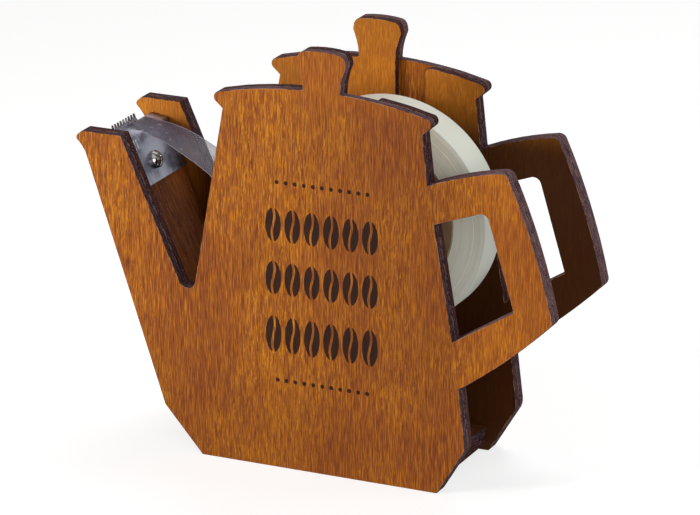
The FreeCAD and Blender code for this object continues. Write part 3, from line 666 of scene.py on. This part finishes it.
# The head is a tall dome, so what stands above the plate is drawn out along the screw.
screw_out = Vector(neck_out)
shank_limit = 0.0033
head_wider = 1.06
head_taller = 0.62
head_slack = 1e-5
screw_sharp = math.radians(30)
screw = merged_copy("cutter_screw", "cutter_screw_head")
under_head = min(
    v.co.dot(screw_out) for v in screw.data.vertices if abs(v.co.y) > shank_limit
)
screw_middle = sum((v.co for v in screw.data.vertices), Vector()) / len(screw.data.vertices)
for v in screw.data.vertices:
    rise = v.co.dot(screw_out) - under_head
    if rise > -head_slack:
        on_axis = screw_middle + screw_out * ((v.co - screw_middle).dot(screw_out))
        v.co = on_axis + (v.co - on_axis) * head_wider + screw_out * (rise * head_taller)
screw.data.shade_smooth()
screw.data.set_sharp_from_angle(angle=screw_sharp)
screw.data.materials.append(polished_steel())
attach(screw, "stand")
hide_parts("cutter_screw")


# ---------------------------------------------------------------- dowel, spacers and hub
# The dowel and its two spacers are plain beech; the hub is three discs of unstained ply. The
# dowel drops into the slots of the inner sheets, and the hub turns on it between the spacers.
turned_round = 0.0003


def bare_wood(name, light, dark, stretch):
    """Unstained wood whose streaks run along the axis in which stretch is least."""
    wood = Finish(name)
    place = wood.stretch(wood.place(), *stretch)
    streaks = wood.noise(place, detail=4.0, roughness=0.6, distortion=0.3)
    return wood.surface(
        height=streaks, depth=0.0001, strength=0.5,
        Base_Color=wood.ramp(streaks, [(0.32, dark), (0.68, light)]),
        Roughness=streaks.fade(0.3, 0.7, 0.62, 0.5),
    )


beech = bare_wood("beech", (0.66, 0.47, 0.28), (0.46, 0.29, 0.15), (700, 60, 700))
birch = bare_wood("birch_ply", (0.40, 0.26, 0.145), (0.27, 0.155, 0.075), (560, 560, 60))
for node, material, body, slot_name in (
    ("axle", beech, "spindle", "dowel_wood"),
    ("spacer_front", beech, "spindle", "dowel_wood"),
    ("spacer_rear", beech, "spindle", "dowel_wood"),
    ("hub_disc_front", birch, "reel", "hub_ply"),
    ("hub_drum", birch, "reel", "hub_ply"),
    ("hub_disc_rear", birch, "reel", "hub_ply"),
):
    round_piece = eased(merged_copy(node, node + "_wood"), turned_round)
    round_piece.data.materials.append(material)
    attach(round_piece, body)
    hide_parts(node)


# ---------------------------------------------------------------- roll of tape on its core
# The tape is wound on a board core. Its side shows the edges of the turns as fine rings, a
# little uneven, and its rim is one smooth turn of film.
roll_low, roll_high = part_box("tape_roll")
roll_axis = (roll_low + roll_high) / 2
roll_radius = (roll_high.z - roll_low.z) / 2
core_low, core_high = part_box("tape_core")
core_radius = (core_high.z - core_low.z) / 2
core_bore = min(
    (v.co.xz - roll_axis.xz).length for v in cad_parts["tape_core"].data.vertices
)

tape_side = [(0.38, (0.80, 0.81, 0.63)), (0.50, (0.91, 0.91, 0.77)), (0.62, (0.96, 0.95, 0.86))]
tape_rim = (0.80, 0.83, 0.71)
light_depth = (0.020, 0.021, 0.015)
board_brown = [(0.38, (0.42, 0.32, 0.21)), (0.62, (0.60, 0.48, 0.34))]


def turned(name, profile, material, segments=240):
    """Ring about the roll's axis; the profile lists (radius, y) in order round its section."""
    seed = bpy.data.meshes.new(name)
    count = len(profile)
    spots = [(r - roll_radius, y, 0) for r, y in profile]
    seed.from_pydata(spots, [(k, (k + 1) % count) for k in range(count)], [])
    lathe = Growth(name + "_lathe", Radius=roll_radius, Facets=segments, Axis=tuple(roll_axis))
    ring = lathe.node(
        "GeometryNodeCurvePrimitiveCircle", {},
        {"Resolution": lathe.given["Facets"], "Radius": lathe.given["Radius"]},
    )
    section = lathe.node("GeometryNodeMeshToCurve", {}, {"Mesh": lathe.given["Geometry"]})
    swept = lathe.node("GeometryNodeCurveToMesh", {}, {"Curve": ring, "Profile Curve": section})
    stood = lathe.node(
        "GeometryNodeTransform", {},
        {"Geometry": swept, "Rotation": (math.pi / 2, 0, 0), "Translation": lathe.given["Axis"]},
    )
    return lathe.grow(seed, stood, material)


def wound_profile(steps=34, uneven=0.00012):
    """Section of the wound tape: both sides waver by a tenth of a millimetre from turn to turn."""
    chance = random.Random(7)
    half = (roll_high.y - roll_low.y) / 2
    soft = 0.0003
    front = []
    rear = []
    for step in range(steps + 1):
        radius = core_radius + (roll_radius - soft - core_radius) * step / steps
        front.append((radius, -half + abs(chance.gauss(0, uneven))))
        rear.append((radius, half - abs(chance.gauss(0, uneven))))
    return front + [(roll_radius, -half + soft), (roll_radius, half - soft)] + rear[::-1]


def rings_of(film, scale, side):
    """Noise that changes only with the distance from the roll's axis."""
    x, y, z = film.parts(film.place())
    across = x - roll_axis.x
    up = z - roll_axis.z
    radius = (across * across + up * up).root()
    return radius, film.noise(film.join(radius * scale, side, 0.0), detail=3.0, roughness=0.6)


def glowing_tape_edges():
    """Milky film seen on edge: fine rings about the roll's axis with a green-white cast. It also
    glows faintly in its own colour, painted light that lifts its shaded side.
    """
    film = Finish("wound_tape")
    radius, rings = rings_of(film, 4200, 0.0)
    broad = rings_of(film, 420, 3.0)[1]
    cloud = film.noise(film.stretch(film.place(), 30, 30, 30), detail=2.0)
    tone = rings * 0.35 + broad * 0.40 + cloud * 0.25
    side = film.ramp(tone, tape_side)
    rim = radius.fade(roll_radius - 0.0009, roll_radius - 0.0002)
    return film.surface(
        height=rings, depth=0.00012, strength=0.5,
        Base_Color=film.mix(rim, side, tape_rim),
        Roughness=rings.fade(0.3, 0.7, 0.34, 0.5), Specular_IOR_Level=0.4,
        # Painted light: the side glows faintly in its own colour.
        Emission_Color=side, Emission_Strength=0.09,
        Subsurface_Weight=0.3, Subsurface_Radius=light_depth, Subsurface_Scale=1.0,
    )


tape = turned("tape_turns", wound_profile(), glowing_tape_edges())
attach(tape, "reel")
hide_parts("tape_roll")


def wound_board():
    """Wound grey-brown board: fine layers about the roll's axis, broken by fibres."""
    board = Finish("core_board")
    layers = rings_of(board, 2600, 0.0)[1]
    fibre = board.noise(board.stretch(board.place(), 500, 500, 500), detail=4.0)
    tone = layers * 0.5 + fibre * 0.5
    return board.surface(
        height=tone, depth=0.00015, strength=0.6,
        Base_Color=board.ramp(tone, board_brown),
        Roughness=fibre.fade(0.3, 0.7, 0.75, 0.9),
    )


core_half = (core_high.y - core_low.y) / 2
core_soft = 0.0002
core = turned("core_ring", [
    (core_bore, -core_half + core_soft), (core_bore + core_soft, -core_half),
    (core_radius - core_soft, -core_half), (core_radius, -core_half + core_soft),
    (core_radius, core_half - core_soft), (core_radius - core_soft, core_half),
    (core_bore + core_soft, core_half), (core_bore, core_half - core_soft),
], wound_board())
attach(core, "reel")
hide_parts("tape_core")


# ---------------------------------------------------------------- free end of the tape
# Clear film peeled from the roll and pressed on the cutter's land. It lies a little askew there
# and turns straight on its way to the roll.
film_width = 0.0172
film_thick = 0.00008
film_twist = 0.16
film_path = [  # mm, from the cutter's land to the roll
    (-101.9, 7.2, 133.45), (-98.0, 7.0, 132.9), (-94.3, 6.8, 132.35), (-86.0, 6.0, 130.9),
    (-77.0, 4.8, 128.3), (-60.5, 2.6, 120.8), (-45.7, 1.0, 110.4), (-33.15, 0.2, 97.33),
    (-26.0, 0.0, 88.3), (-18.95, 0.0, 79.5),
]
film_body = (0.075, 0.050, 0.100)
film_edge = (0.44, 0.38, 0.46)


def clear_film():
    """Thin hazy film with a violet cast; its edges and trapped bubbles are less clear."""
    film = Finish("clear_film")
    across = film.node("ShaderNodeAttribute", {"attribute_name": "across"}, {}, "Fac")
    edge = abs(across).fade(0.90, 0.99)
    bubbles = film.noise(film.stretch(film.place(), 300, 300, 300), detail=1.0).fade(0.67, 0.73)
    haze = film.noise(film.stretch(film.place(), 60, 160, 60), detail=3.0)
    colour = film.mix(edge.most(bubbles * 0.7), film_body, film_edge)
    return film.surface(
        height=haze, depth=0.0004, strength=0.2,
        Base_Color=colour, Roughness=haze.fade(0.3, 0.7, 0.20, 0.32), Specular_IOR_Level=0.25,
        Alpha=haze.fade(0.3, 0.7, 0.40, 0.56).most(edge * 0.7).most(bubbles * 0.45),
    )


film_seed = bpy.data.meshes.new("free_film")
film_spots = [tuple(n / 1000 for n in spot) for spot in film_path]
film_seed.from_pydata(film_spots, [(k, k + 1) for k in range(len(film_spots) - 1)], [])
peel = Growth("peel", Width=film_width, Thickness=film_thick, Stations=96, Twist=film_twist)
rail = peel.node("GeometryNodeMeshToCurve", {}, {"Mesh": peel.given["Geometry"]})
rail = peel.node("GeometryNodeCurveSplineType", {"spline_type": "CATMULL_ROM"}, {"Curve": rail})
rail = peel.node("GeometryNodeResampleCurve", {}, {"Curve": rail, "Count": peel.given["Stations"]})
rail = peel.node("GeometryNodeSetCurveNormal", {"mode": "Z_UP"}, {"Curve": rail})
share = peel.node("GeometryNodeSplineParameter", {}, {}, "Factor")
tilt = (share * math.pi).sine() * peel.given["Twist"]
rail = peel.node("GeometryNodeSetCurveTilt", {}, {"Curve": rail, "Tilt": tilt})
ribbon = peel.node(
    "GeometryNodeCurvePrimitiveQuadrilateral", {},
    {"Width": peel.given["Width"], "Height": peel.given["Thickness"]},
)
place = peel.node("GeometryNodeInputPosition", {}, {})
across = peel.node("ShaderNodeSeparateXYZ", {}, {"Vector": place})
ribbon = peel.node(
    "GeometryNodeStoreNamedAttribute", {"data_type": "FLOAT", "domain": "POINT"},
    {"Geometry": ribbon, "Name": "across", "Value": across / peel.given["Width"] * 2.0},
)
swept = peel.node(
    "GeometryNodeCurveToMesh", {},
    {"Curve": rail, "Profile Curve": ribbon, "Fill Caps": True},
)
film_piece = peel.grow(film_seed, swept, clear_film())
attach(film_piece, "spindle")
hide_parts("tape_strip")
